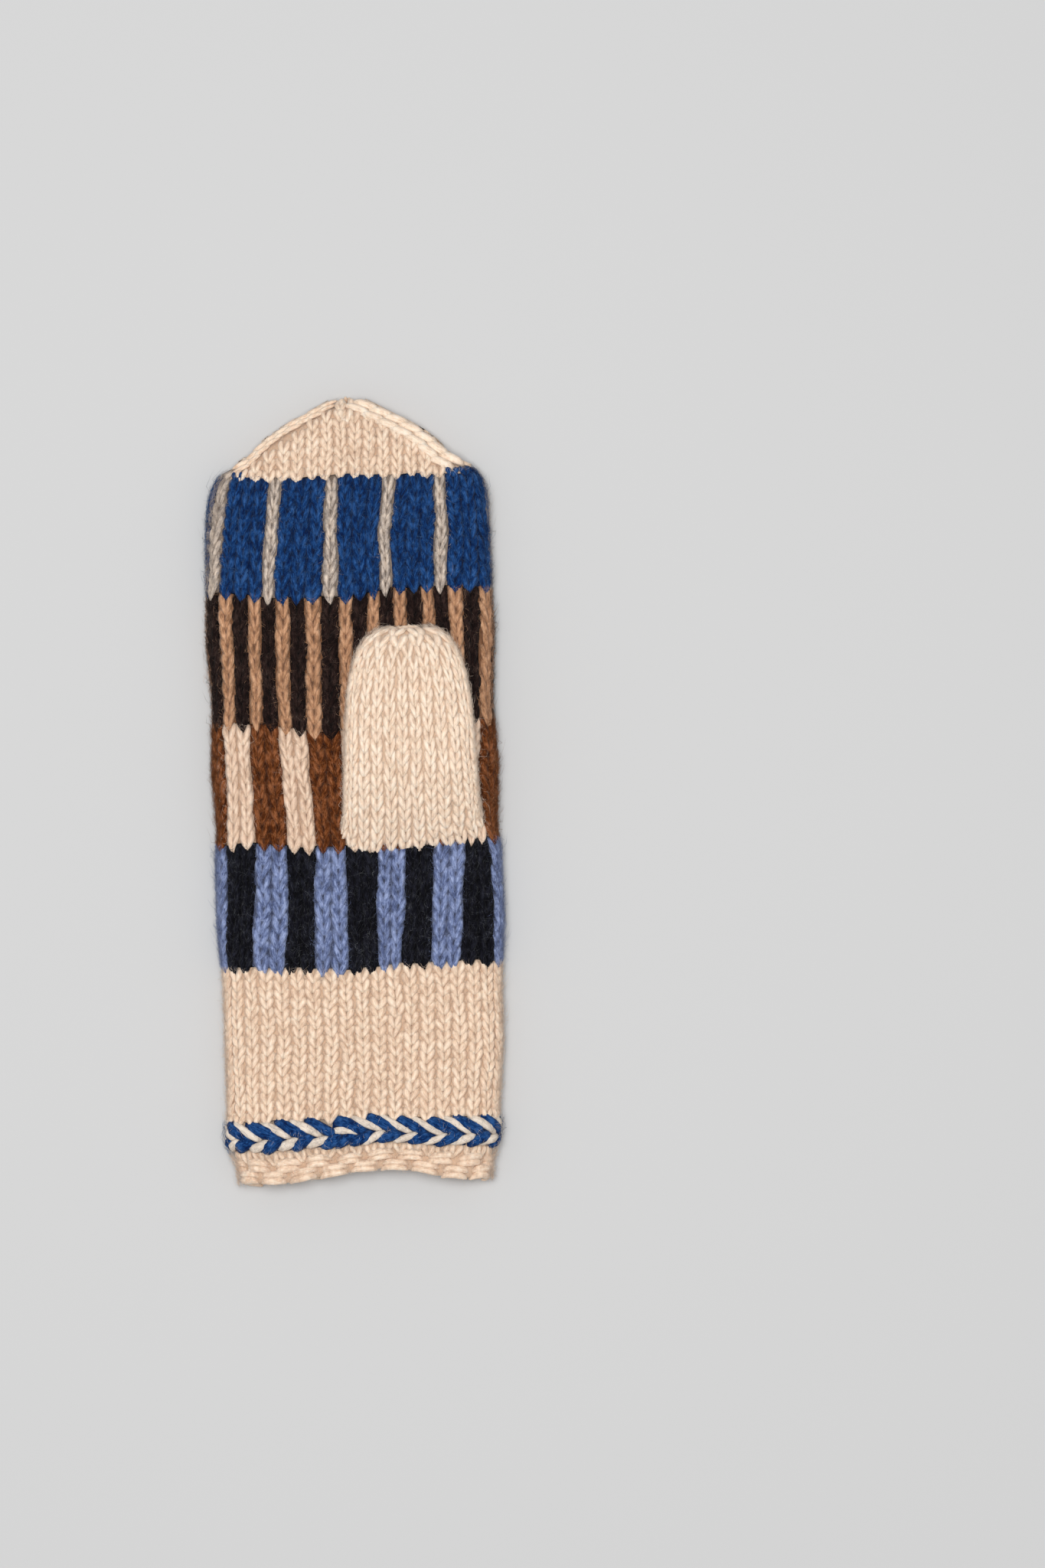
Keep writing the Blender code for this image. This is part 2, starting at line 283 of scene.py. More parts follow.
# Two strands of the slanted chain at each edge of the tip, in widths and lengths of the chain
SHINGLE_SLANT = 0.16
SHINGLE_STEP = (-0.5, 0.3, 0.0)
SHINGLE_MIDDLE = (0.0, 0.35, -0.14)
SHINGLE = (
    Stop(0.24, -0.8, -0.32, 0.06, 0.05),
    Stop(0.24, -0.62, -0.19, 0.18, 0.12),
    Stop(0.25, -0.3, -0.13, 0.26, 0.18),
    Stop(0.25, 0.1, -0.12, 0.285, 0.2),
    Stop(0.25, 0.5, -0.14, 0.265, 0.185),
    Stop(0.24, 0.78, -0.21, 0.18, 0.12),
    Stop(0.23, 0.92, -0.33, 0.06, 0.05),
)

# Each yarn's dark, middle and light tone
YARNS = {
    "cream": ((0.66, 0.47, 0.335), (0.875, 0.67, 0.508), (0.95, 0.8, 0.65)),
    "pale": ((0.71, 0.53, 0.39), (0.925, 0.732, 0.573), (0.965, 0.845, 0.71)),
    "oat": ((0.61, 0.425, 0.3), (0.82, 0.61, 0.46), (0.92, 0.75, 0.6)),
    "linen": ((0.5, 0.43, 0.37), (0.72, 0.62, 0.52), (0.86, 0.76, 0.66)),
    "stone": ((0.28, 0.235, 0.205), (0.56, 0.47, 0.4), (0.8, 0.67, 0.55)),
    "tan": ((0.24, 0.12, 0.062), (0.5, 0.265, 0.145), (0.72, 0.44, 0.27)),
    "black": ((0.004, 0.002, 0.002), (0.015, 0.007, 0.006), (0.045, 0.026, 0.021)),
    "brown": ((0.06, 0.014, 0.002), (0.155, 0.045, 0.011), (0.3, 0.11, 0.045)),
    "navy": ((0.0015, 0.0015, 0.003), (0.005, 0.005, 0.009), (0.018, 0.019, 0.028)),
    "periwinkle": ((0.065, 0.088, 0.185), (0.185, 0.235, 0.42), (0.36, 0.43, 0.66)),
    "blue": ((0.001, 0.01, 0.056), (0.005, 0.04, 0.15), (0.028, 0.095, 0.27)),
    "dusk": ((0.02, 0.02, 0.026), (0.06, 0.063, 0.072), (0.19, 0.2, 0.21)),
    "ash": ((0.02, 0.013, 0.011), (0.065, 0.044, 0.036), (0.18, 0.13, 0.11)),
    "ember": ((0.1, 0.03, 0.008), (0.26, 0.1, 0.035), (0.48, 0.24, 0.12)),
    "sky": ((0.012, 0.05, 0.15), (0.035, 0.105, 0.26), (0.12, 0.23, 0.45)),
}
# The loose fibres that stand out on a dark yarn look lighter than the yarn
HAIR_YARNS = {"navy": "dusk", "black": "ash", "brown": "ember", "blue": "sky"}
SHEENS = {"cream": 0.2, "pale": 0.2, "oat": 0.2, "tan": 0.12, "periwinkle": 0.15, "blue": 0.05,
          "brown": 0.05}
# How light each yarn's painted shade between its stitches stays, as a share of its dark tone: felted yarns
# hide the spaces
PAINTED_SHADE_TONES = {"blue": 0.9, "black": 0.8, "navy": 0.8, "brown": 0.65, "cream": 0.85, "pale": 0.88, "oat": 0.7}
# How much light goes into each yarn and comes out beside it, which softens the stitches
SOFTNESS = {"cream": 0.3, "pale": 0.3, "oat": 0.22, "linen": 0.2, "stone": 0.1, "tan": 0.15,
            "periwinkle": 0.1}
SOFT_REACH = 0.8 * MM
# The noise across, out and along a yarn, and over the cloth, and the shares mixed in
STREAKS = (2.2, 2.2, 0.45)
FINE_STREAKS = (6.5, 6.5, 0.9)
HEATHER = (420.0, 260.0, 420.0)
FINE_SHARE = 0.45
HEATHER_SHARE = 0.35
# How near the middle tone a yarn's dark and light flecks start
FLECK_SPREAD = {"stone": 0.075, "blue": 0.075, "brown": 0.065, "navy": 0.07, "periwinkle": 0.08}
YARN_NAMES = tuple(YARNS)


def node_span(name):
    """Give where a piece's nodes start and end along the mitten."""
    boxes = [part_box(node) for node in NODES.get(name, (name,))]
    return min(low.y for low, high in boxes), max(high.y for low, high in boxes)


HEM_START = node_span("hem")[0]
HEM_END, BRAID_END, CUFF_END, WRIST_END, PALM_END, KNUCKLE_END, FINGER_END, TIP_END = [
    node_span(name)[1] for name in LEANS]

# How the palm's rows hang, in mm: at the sides, how much lower in the middle, where that is and how wide,
# and the share of it underneath
SAGS = (
    (HEM_START, -0.5, -4.6, 6.0, 26.0, 1.2),
    (HEM_END, 0.0, -2.2, 8.0, 24.0, 1.1),
    (BRAID_END, 0.0, -1.2, 0.0, 20.0, 1.0),
    (CUFF_END, 1.1, 2.1, -8.0, 26.0, 0.0),
    (WRIST_END, 0.9, 2.5, -8.0, 26.0, 0.0),
    (PALM_END, 1.9, 5.1, -8.0, 26.0, 0.0),
    (KNUCKLE_END, 1.4, 3.6, -15.0, 28.0, 0.0),
    (FINGER_END, -2.2, -0.8, 3.0, 24.0, 0.0),
    (TIP_END, 0.0, 0.0, 0.0, 26.0, 0.0),
)

# How far the stripes stray to the right on the palm, in tenths of a mm, at these columns and places
DRIFT_COLUMNS = (-2, 0, 1, 3, 5, 7, 9, 11, 13, 15, 17, 19, 20, 22)
DRIFTS = (
    (CUFF_END, (0, -6, -12, -19, -9, -8, 5, 10, -17, -16, -15, 0, 0, 0)),
    ((CUFF_END + WRIST_END) / 2, (0, 2, 3, -8, 11, -3, 12, 7, 3, -6, 0, 7, 4, 0)),
    (WRIST_END, (0, 3, 4, 9, 15, 11, 9, 20, 15, 11, 16, -9, -6, 0)),
    ((WRIST_END + PALM_END) / 2, (0, 8, 12, 2, 8, 4, 14, 10, 5, -5, -15, -30, -20, 0)),
    (PALM_END, (0, 5, 8, 2, -3, -9, 7, 6, 0, -5, -10, -15, -8, 0)),
    ((PALM_END + KNUCKLE_END) / 2, (0, 6, 10, 6, -2, -1, 9, 8, 0, -5, -12, -14, -8, 0)),
    (KNUCKLE_END, (0, 4, 7, 9, 0, 0, 17, 14, -4, -9, -18, -8, -4, 0)),
    ((KNUCKLE_END + FINGER_END) / 2, (5, 22, 30, 26, 18, 20, 17, 12, -2, -6, -9, -7, -4, 0)),
    (FINGER_END, (15, 46, 53, 43, 30, 32, 22, 22, 15, 3, -22, -18, -10, 0)),
)


def fold_power(half_width, height):
    """Give the power of a section's curve that keeps its fold round at any width."""
    return np.maximum(2.0, FOLD_ROUND * half_width / height)


def unit(vectors):
    """Bring vectors to a length of one."""
    return vectors / np.maximum(np.linalg.norm(vectors, axis=-1, keepdims=True), 1e-12)


def walk(line):
    """Give the length walked along a line of points, up to each of them."""
    return np.concatenate([[0.0], np.cumsum(np.linalg.norm(np.diff(line, axis=0), axis=1))])


def follow(line, walked, stops):
    """Give the points that lie this far along a line."""
    return np.stack([np.interp(stops, walked, values) for values in line.T], axis=1)


def walk_section(width, thickness):
    """Walk half a section from the middle of its underside, out round the fold, to its top."""
    half_width = width / 2
    under = thickness * FOLD_HEIGHT
    over = thickness - under
    turn = np.linspace(0.0, math.pi / 2, FINE_STEPS)
    low_x = half_width * np.sin(turn) ** (2 / fold_power(half_width, under))
    low_z = under * (1 - np.cos(turn))
    high_x = half_width * np.sin(turn) ** (2 / fold_power(half_width, over))
    high_z = under + over * np.cos(turn)
    x = np.concatenate([low_x, high_x[::-1][1:]])
    z = np.concatenate([low_z, high_z[::-1][1:]])
    return x, z, walk(np.stack([x, z], axis=1))


def spread_columns(columns, pitch, plain, quarter, reach):
    """Turn columns counted from the middle of a face into lengths round a section."""
    side = np.abs(columns)
    if reach <= plain * pitch:
        return np.minimum(side * pitch, reach)
    rest = (reach - plain * pitch) / max(quarter - plain, 0.001)
    return np.where(side < plain, side * pitch, np.minimum(plain * pitch + (side - plain) * rest, reach))


def section_points(width, thickness, around, pitch, plain):
    """Give the points round one section, from the left fold over the top and back underneath."""
    x, z, walked = walk_section(width, thickness)
    fold = walked[FINE_STEPS - 1]
    columns = np.arange(around * COLUMN_STEPS) / COLUMN_STEPS
    quarter = around / 4
    on_top = columns <= around / 2
    over = columns - quarter
    under = columns - 3 * quarter
    top_reach = walked[-1] - spread_columns(over, pitch, plain, quarter, walked[-1] - fold)
    low_reach = spread_columns(under, pitch, plain, quarter, fold)
    reach = np.where(on_top, top_reach, low_reach)
    sign = np.where(on_top, np.sign(over), -np.sign(under))
    return sign * np.interp(reach, walked, x), np.interp(reach, walked, z)


def outward_of(points):
    """Give the outward direction at each point of a closed cloth."""
    across = np.roll(points, -1, axis=1) - np.roll(points, 1, axis=1)
    along = np.gradient(points, axis=0)
    return unit(np.cross(across, along))


def eased(values):
    """Round off the corners in a row of sizes."""
    padded = np.pad(values, EASE_LEVELS // 2, mode="edge")
    return np.convolve(padded, np.ones(EASE_LEVELS) / EASE_LEVELS, mode="valid")


@functools.lru_cache
def body_sizes():
    """Give the levels along the mitten with its width and thickness at each."""
    stations = []
    for name, rows in OUTLINE.items():
        start, end = node_span(name)
        stations += [(start + (end - start) * part, width * MM, high * MM) for part, width, high in rows]
    places, widths, thicknesses = zip(*stations)
    levels = np.arange(HEM_START - CLOTH_START, TIP_END + LEVEL_STEP, LEVEL_STEP)
    width = eased(np.interp(levels, places, widths))
    thickness = eased(np.interp(levels, places, thicknesses))
    return levels, width, thickness


def section_size(along):
    """Give the mitten's half width and thickness at places along it."""
    levels, widths, thicknesses = body_sizes()
    return np.interp(along, levels, widths) / 2, np.interp(along, levels, thicknesses)


def make_body_cloth(around, pitch, plain, drifts=()):
    """Map the mitten's surface, from below the hem to the fingertips."""
    levels, widths, thicknesses = body_sizes()
    middles = [sum(node_span(name)) / 2 for name in LEANS]
    leans = np.interp(levels, middles, list(LEANS.values())) * MM
    points = np.empty((len(levels), around * COLUMN_STEPS, 3))
    for number, level in enumerate(levels):
        x, z = section_points(widths[number], thicknesses[number], around, pitch, plain)
        points[number] = np.stack([x + leans[number], np.full_like(x, level), z], axis=1)
    return Cloth(points, outward_of(points), levels[0], LEVEL_STEP, around, pitch, SAGS, drifts)


def face_height(half_width, thickness, across):
    """Give the height of the upper face at a share of its half width."""
    over = thickness * (1 - FOLD_HEIGHT)
    return thickness - over + over * np.sqrt(1 - across ** fold_power(half_width, over))


def palm_height(x, y):
    """Give the height of the palm's outside at places."""
    half_width, thickness = section_size(y)
    return face_height(half_width, thickness, np.minimum(np.abs(x) / half_width, 1.0))


def thumb_stations():
    """List the loops that the thumb rises in: heel, front, lift, and width as a share."""
    base = node_span("thumb")[0]
    shares, widths, thicknesses = zip(*THUMB_OUTLINE)
    stations = []
    for part in np.linspace(0.0, 1.0, THUMB_LOOPS):
        front = THUMB_LENGTH * part
        slope = min(front / THUMB_SLOPE, 1.0)
        heel = max(front, THUMB_BASE + (THUMB_SLOPE - THUMB_BASE) * slope)
        rise = math.sin(slope * math.pi / 2) ** THUMB_ROUND
        lift = THUMB_THICKNESS * rise * np.interp(part, shares, thicknesses)
        stations.append((base + heel, base + front, lift, np.interp(part, shares, widths)))
    return stations


def thumb_points(heel, front, lift, share):
    """Give the points round one loop of the thumb, draped over the palm."""
    reach = math.hypot(front - heel, lift)
    pitch = THUMB_PITCH * share
    across, up = section_points(THUMB_WIDTH * share, reach, THUMB_COLUMNS, pitch, THUMB_PLAIN)
    part = up / reach
    x = THUMB_SIDE + across
    hang = THUMB_DROP + THUMB_HANG * np.exp(-((x / MM - THUMB_HANG_MIDDLE) / THUMB_HANG_SPREAD) ** 2)
    y = heel + (front - heel) * part - hang * max(0.0, 1 - lift / THUMB_LIFTED)
    rest = palm_height(THUMB_SIDE + across * THUMB_FOOT, y) + GAP
    return np.stack([x, y, rest + lift * part], axis=1)


def make_thumb_cloth():
    """Map the thumb's surface, from its base to its end, evenly along its front."""
    loops = np.array([thumb_points(*station) for station in thumb_stations()])
    walked = walk(loops[:, THUMB_COLUMNS // 4 * COLUMN_STEPS])
    levels = np.arange(0.0, walked[-1], LEVEL_STEP)
    points = np.stack([follow(line, walked, levels) for line in loops.swapaxes(0, 1)], axis=1)
    return Cloth(points, outward_of(points), 0.0, LEVEL_STEP, THUMB_COLUMNS, THUMB_PITCH, (), ())


def sag_rows(cloth, column, along):
    """Give how far places hang lower than straight rows would."""
    if not cloth.sags:
        return 0.0
    column = np.mod(column, cloth.around)
    places, *fields = zip(*cloth.sags)
    sides, dip, middle, spread, under = [np.interp(along, places, field) for field in fields]
    quarter = cloth.around / 4
    x = cloth.pitch / MM * np.where(column < 2 * quarter, column - quarter, 3 * quarter - column)
    bell = np.exp(-((x - middle) / spread) ** 2)
    height = np.sin(column * 2 * math.pi / cloth.around)
    fade = np.clip(SAG_EDGE * height, 0.0, 1.0) + np.clip(-SAG_EDGE * height, 0.0, 1.0) * under
    return (sides - dip * bell) * MM * fade


def draw_columns(cloth, column, along):
    """Give how far columns stray sideways, counted in columns."""
    if not cloth.drifts:
        return 0.0
    column = np.mod(column + cloth.around / 4, cloth.around) - cloth.around / 4
    places = [place for place, shifts in cloth.drifts]
    rows = np.array([np.interp(column, DRIFT_COLUMNS, shifts) for place, shifts in cloth.drifts])
    level = np.interp(along, places, np.arange(len(places)))
    low = np.floor(level).astype(int)
    high = np.minimum(low + 1, len(places) - 1)
    near = np.take_along_axis(rows, low[None], axis=0)[0]
    far = np.take_along_axis(rows, high[None], axis=0)[0]
    return (near + (far - near) * (level - low)) / 10 * MM / cloth.pitch


def wander(cloth, column, along):
    """Let columns drift sideways, and rows along, as hand knitting does."""
    turn = 2 * math.pi * column / cloth.around
    sideways, lengthways = [
        sum(size * np.sin(along / (run * MM) + turns * turn + shift) for size, turns, run, shift in waves)
        for waves in (COLUMN_WAVES, ROW_WAVES)]
    return sideways, lengthways * MM


def lay(cloth, column, along, out):
    """Turn places on the cloth into points."""
    sideways, lengthways = wander(cloth, column, along)
    column, along = np.broadcast_arrays(column, along)
    drawn = draw_columns(cloth, column, along)
    along = along + sag_rows(cloth, column, along) + lengthways
    column = column + drawn + sideways
    level = (along - cloth.start) / cloth.step
    low = np.clip(np.floor(level).astype(int), 0, len(cloth.points) - 2)
    rise = (level - low)[..., None]
    turn = np.mod(column, cloth.around) * COLUMN_STEPS
    left = np.floor(turn).astype(int) % (cloth.around * COLUMN_STEPS)
    part = (turn - np.floor(turn))[..., None]
    right = (left + 1) % (cloth.around * COLUMN_STEPS)
    near = cloth.points[low, left] * (1 - part) + cloth.points[low, right] * part
    far = cloth.points[low + 1, left] * (1 - part) + cloth.points[low + 1, right] * part
    outward = cloth.outward[low, left] * (1 - part) + cloth.outward[low, right] * part
    points = near * (1 - rise) + far * rise + outward * np.asarray(out)[..., None]
    points[..., 2] = np.maximum(points[..., 2], FLOOR_CLEARANCE)
    return points


def read_shape(item):
    """Read an object's mesh as points and triangles, and remove the object."""
    mesh = item.data
    points = np.empty(len(mesh.vertices) * 3)
    mesh.vertices.foreach_get("co", points)
    mesh.calc_loop_triangles()
    faces = np.empty(len(mesh.loop_triangles) * 3, dtype=np.int32)
    mesh.loop_triangles.foreach_get("vertices", faces)
    bpy.data.objects.remove(item, do_unlink=True)
    bpy.data.meshes.remove(mesh)
    return points.reshape(-1, 3), faces.reshape(-1, 3)


def extrude_strand(stops, sides):
    """Model a strand by extruding a small ring from stop to stop, and leave it in edit mode."""
    first = stops[0]
    place = (first.across, first.along, first.out)
    bpy.ops.mesh.primitive_circle_add(
        vertices=sides, radius=1.0, fill_type="NGON", location=place, rotation=(math.pi / 2, 0.0, 0.0))
    item = bpy.context.object
    bpy.ops.object.transform_apply()
    bpy.ops.object.mode_set(mode="EDIT")
    bpy.ops.mesh.select_all(action="SELECT")
    bpy.ops.transform.resize(value=(first.wide, 1.0, first.high), center_override=place)
    for near, far in zip(stops[:-1], stops[1:]):
        step = (far.across - near.across, far.along - near.along, far.out - near.out)
        bpy.ops.mesh.extrude_region_move(TRANSFORM_OT_translate={"value": step})
        size = (far.wide / near.wide, 1.0, far.high / near.high)
        bpy.ops.transform.resize(value=size, center_override=(far.across, far.along, far.out))
    bpy.ops.mesh.select_all(action="SELECT")
    bpy.ops.mesh.normals_make_consistent()
    return item


def strand_fibre(points, stops):
    """Give each point's place in its own strand: across it, out of it and along it."""
    along = points[:, 1]
    places = [stop.along for stop in stops]
    across = np.interp(along, places, [stop.across for stop in stops])
    out = np.interp(along, places, [stop.out for stop in stops])
    return np.stack([points[:, 0] - across, points[:, 2] - out, along], axis=1)


@functools.lru_cache
def model_stitch():
    """Model a knit stitch: one leg as a strand, and its mirror image."""
    item = extrude_strand(LEG, 5)
    bpy.ops.mesh.duplicate()
    bpy.ops.transform.resize(value=(-1.0, 1.0, 1.0), center_override=(0.0, 0.0, 0.0))
    bpy.ops.mesh.select_all(action="SELECT")
    bpy.ops.mesh.normals_make_consistent()
    bpy.ops.object.mode_set(mode="OBJECT")
    points, faces = read_shape(item)
    half = len(points) // 2
    folded = points.copy()
    folded[half:, 0] *= -1
    fibre = strand_fibre(folded, LEG)
    fibre[half:, 2] += LEG_SHIFT
    # Painted shade: the leg's colour is painted darker where it lies low, between the stitches
    return Shape(points, faces, fibre, shade_depth(points[:, 2], -0.02, -0.3))


def shade_depth(out, top, bottom):
    """Give how light yarn's colour is painted at a depth: painted shade, as little light gets down between
    the stitches.
    """
    return np.interp(out, (bottom, top), (LOW_SHADE, 1.0))


def model_shingle(side):
    """Model two strands side by side, staggered and slanted towards one side."""
    item = extrude_strand(SHINGLE, 6)
    bpy.ops.mesh.duplicate()
    bpy.ops.transform.translate(value=SHINGLE_STEP)
    bpy.ops.object.mode_set(mode="OBJECT")
    points, faces = read_shape(item)
    half = len(points) // 2
    straight = points.copy()
    straight[half:] -= np.array(SHINGLE_STEP)
    fibre = strand_fibre(straight, SHINGLE)
    points[:, 0] -= side * SHINGLE_SLANT * points[:, 1]
    # Painted shade: the strands' colour is painted darker where they lie low
    return Shape(points, faces, fibre, shade_depth(points[:, 2], 0.0, -0.26))


def repeat_shape(shape, points, yarns, rng, size):
    """Join copies of a shape whose points are laid, each copy in its own yarn."""
    copies, count = points.shape[:2]
    faces = shape.faces[None] + (np.arange(copies) * count)[:, None, None]
    shift = rng.uniform(0.0, NOISE_LENGTH, (copies, 1, 3))
    fibre = shape.fibre[None] * np.array(size) + shift
    yarn = np.repeat(yarns, len(shape.faces))
    shade = np.tile(shape.shade, copies)
    return Mesh(points.reshape(-1, 3), faces.reshape(-1, 3), fibre.reshape(-1, 3), yarn, shade)


def knit(cloth, name, columns, starts, heights, rng, widths=1.0):
    """Lay one stitch at each place: its column, start, row height and width in columns."""
    stitch = model_stitch()
    count = len(columns)
    starts = np.broadcast_to(starts, count)
    heights = np.broadcast_to(heights, count)
    yarns = chart_yarn(name, columns)
    shares = YARN_WIDTHS.get(name, {})
    widths = widths * np.array([shares.get(yarn, 1.0) for yarn in YARN_NAMES])[yarns]
    size, tilt, shift, slide, lift = [amount * rng.standard_normal((count, 1)) for amount in UNEVEN]
    size = 1 + size
    x, y, z = stitch.points.T
    column = columns[:, None] + (x * size + tilt * (y - 0.3) + shift) * widths[:, None]
    along = starts[:, None] + (y + slide) * heights[:, None]
    points = lay(cloth, column, along, z * cloth.pitch * size + lift * MM)
    row = float(np.mean(heights)) / MM
    return repeat_shape(stitch, points, yarns, rng, (cloth.pitch / MM, cloth.pitch / MM, row))


def chart_yarn(name, column):
    """Give the yarn that the chart puts at each column."""
    chart = CHARTS[name]
    numbers = np.array([YARN_NAMES.index(yarn) for yarn in chart])
    return numbers[np.floor(column).astype(int) % len(chart)]


def stitch_grid(name, around, start, end):
    """List a band's stitches: the middle of the column, the start and the row height."""
    rows = ROWS[name]
    height = (end - start) / rows
    column, row = np.meshgrid(np.arange(around) + 0.5, np.arange(rows))
    starts = start + row.ravel() * height
    return column.ravel(), starts, np.full(starts.shape, height)


def grow_hairs(cloth, name, start, end, rng):
    """Grow loose fibres from a piece, which lie along the cloth and lift a little."""
    count = HAIRS[name]
    level = HAIR_LEVELS.get(name, 0.0) * MM
    half = cloth.around / 2
    top = rng.uniform(size=count) < HAIRS_ON_PALM
    column = rng.uniform(-0.6, half + 0.6, count)
    column = np.where(top, column, column + half)
    fold = rng.uniform(size=count) < HAIRS_AT_FOLDS
    side = np.where(rng.uniform(size=count) < 0.5, 0.0, half)
    column = np.where(fold, side + rng.normal(0.0, 0.5, count), column)
    along = rng.uniform(start, end, count)
    astray = rng.uniform(size=count) < HAIRS_ASTRAY
    length = np.where(astray, rng.uniform(*ASTRAY_LENGTHS, count), rng.uniform(*HAIR_LENGTHS, count)) * MM
    lean = np.where(astray, rng.uniform(-1.6, 1.6, count), rng.normal(0.0, 0.75, count))
    across = np.sin(lean) * length / cloth.pitch
    forth = np.cos(lean) * length
    bend = rng.normal(0.0, 0.12, count) * length
    rise = rng.uniform(0.0, HAIR_RISE, count) * length * np.where(fold, FOLD_RISE, 1.0) + level
    root = lay(cloth, column - across / 2, along - forth / 2, np.full(count, level - 0.25 * MM))
    middle = lay(cloth, column + np.cos(lean) * bend / cloth.pitch, along - np.sin(lean) * bend,
                 0.02 * MM + level * 0.4 + rise * 0.6)
    end_out = np.where(rng.uniform(size=count) < 0.5, rise - 0.1 * MM, level - 0.2 * MM)
    tip = lay(cloth, column + across / 2, along + forth / 2, end_out)
    return shape_hairs(name, column, root, middle, tip, rng)


def shape_hairs(name, column, root, middle, tip, rng):
    """Shape loose fibres as thin closed spindles, each in its column's yarn or in a lighter one."""
    count = len(root)
    forward = unit(tip - root)
    side = unit(np.cross(forward, rng.standard_normal((count, 3))))
    up = np.cross(forward, side)
    radius = rng.uniform(*HAIR_RADII, (count, 1)) * MM
    ring = [middle + radius * (math.cos(turn) * side + math.sin(turn) * up)
            for turn in (0.0, 2 * math.pi / 3, 4 * math.pi / 3)]
    points = np.stack([root] + ring + [tip], axis=1)
    faces = np.array([(2, 1, 0), (3, 2, 0), (1, 3, 0), (1, 2, 4), (2, 3, 4), (3, 1, 4)])
    shape = Shape(points[0], faces, np.zeros((5, 3)), np.ones(5))
    yarns = chart_yarn(name, column + rng.normal(0.0, 0.12, count))
    lighter = np.array([YARN_NAMES.index(HAIR_YARNS.get(yarn, yarn)) for yarn in YARN_NAMES])
    yarns = np.where(rng.uniform(size=count) < HAIRS_LIGHTER, lighter[yarns], yarns)
    mesh = repeat_shape(shape, points, yarns, rng, (1.0, 1.0, 1.0))
    half = np.linalg.norm(tip - root, axis=1) / MM / 2
    mesh.fibre[:, 2] += (half[:, None] * (-1, 0, 0, 0, 1)).ravel()
    return mesh


def wrap_backing(cloth, name, start, end, rings):
    """Wrap an open tube on the cloth, under the stitches, and give it a wall."""
    sides = cloth.around * 2
    bpy.ops.mesh.primitive_cylinder_add(vertices=sides, radius=1.0, depth=1.0, end_fill_type="NOTHING")
    item = bpy.context.object
    bpy.ops.object.mode_set(mode="EDIT")
    bpy.ops.mesh.select_mode(type="EDGE")
    bpy.ops.mesh.select_all(action="DESELECT")
    bpy.ops.object.mode_set(mode="OBJECT")
    for edge in item.data.edges:
        ends = [item.data.vertices[index].co.z for index in edge.vertices]
        edge.select = abs(ends[0] - ends[1]) > 0.5
    bpy.ops.object.mode_set(mode="EDIT")
    bpy.ops.mesh.subdivide(number_cuts=rings - 1)
    bpy.ops.object.mode_set(mode="OBJECT")
    mesh = item.data
    places = np.empty(len(mesh.vertices) * 3)
    mesh.vertices.foreach_get("co", places)
    places = places.reshape(-1, 3)
    column = np.mod(np.arctan2(places[:, 1], places[:, 0]) / (2 * math.pi), 1.0) * cloth.around
    column = np.round(column * 2) / 2
    along = start + (places[:, 2] + 0.5) * (end - start)
    points = lay(cloth, column, along, np.full(column.shape, -BACKING_DEPTH))
    mesh.vertices.foreach_set("co", points.ravel())
    mesh.update()
    wall = item.modifiers.new("wall", "SOLIDIFY")
    wall.thickness = BACKING_WALL
    wall.offset = -1.0
    bpy.ops.object.modifier_apply(modifier="wall")
    count = len(points)
    inner = len(item.data.vertices) // count
    points, faces = read_shape(item)
    columns = np.tile(column, inner)
    middle = columns[faces]
    wrapped = np.ptp(middle, axis=1) > cloth.around / 2
    middle = np.where(wrapped[:, None] & (middle < cloth.around / 2), middle + cloth.around, middle)
    yarn = chart_yarn(name, middle.mean(axis=1))
    fibre = np.stack([columns * cloth.pitch / MM, points[:, 2] / MM, np.tile(along, inner) / MM], axis=1)
    # Painted shade: the outer wall under the stitches is painted dark, and the inner wall a little darker
    # than the yarn
    shade = np.where(np.arange(len(points)) < count, DEEP_SHADE, INSIDE_SHADE)
    return Mesh(points, faces, fibre, yarn, shade)


def join_meshes(meshes):
    """Join meshes into one."""
    firsts = np.cumsum([0] + [len(mesh.points) for mesh in meshes])
    points, faces, fibre, yarn, shade = [np.concatenate(parts) for parts in zip(*meshes)]
    faces = np.concatenate([mesh.faces + first for mesh, first in zip(meshes, firsts)])
    return Mesh(points, faces, fibre, yarn, shade)


def finish_piece(piece, name, cloth, meshes, start, end, rng, inset=0.0):
    """Add loose fibres and a backing to a piece's stitches, and make the piece."""
    hairs = grow_hairs(cloth, name, start, end, rng)
    backing = wrap_backing(cloth, name, start + inset, end, ROWS[name] * 2)
    add_piece(piece, name, join_meshes([*meshes, hairs, backing]))


def add_piece(name, part, mesh):
    """Make a piece from a joined mesh, and let it ride in place of its part's nodes."""
    data = bpy.data.meshes.new(name)
    count = len(mesh.faces)
    data.vertices.add(len(mesh.points))
    data.vertices.foreach_set("co", mesh.points.ravel())
    data.loops.add(count * 3)
    data.loops.foreach_set("vertex_index", mesh.faces.ravel().astype(np.int32))
    data.polygons.add(count)
    data.polygons.foreach_set("loop_start", np.arange(count, dtype=np.int32) * 3)
    used = np.unique(mesh.yarn)
    for number in used:
        data.materials.append(bpy.data.materials[YARN_NAMES[number] + "_wool"])
    slots = np.searchsorted(used, mesh.yarn)
    data.polygons.foreach_set("material_index", slots.astype(np.int32))
    data.polygons.foreach_set("use_smooth", np.ones(count, dtype=bool))
    fibre = data.attributes.new("fibre", "FLOAT_VECTOR", "POINT")
    fibre.data.foreach_set("vector", mesh.fibre.ravel().astype(np.float32))
    # Each point's painted shade, which darkens the yarn's colour in its material
    shade = data.attributes.new("shade", "FLOAT", "POINT")
    shade.data.foreach_set("value", mesh.shade.astype(np.float32))
    data.update(calc_edges=True)
    item = bpy.data.objects.new(name, data)
    bpy.context.scene.collection.objects.link(item)
    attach(item, BODY)
    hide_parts(*NODES.get(part, (part,)))


def link(tree, source, target):
    """Join an output to an input."""
    tree.links.new(source, target)


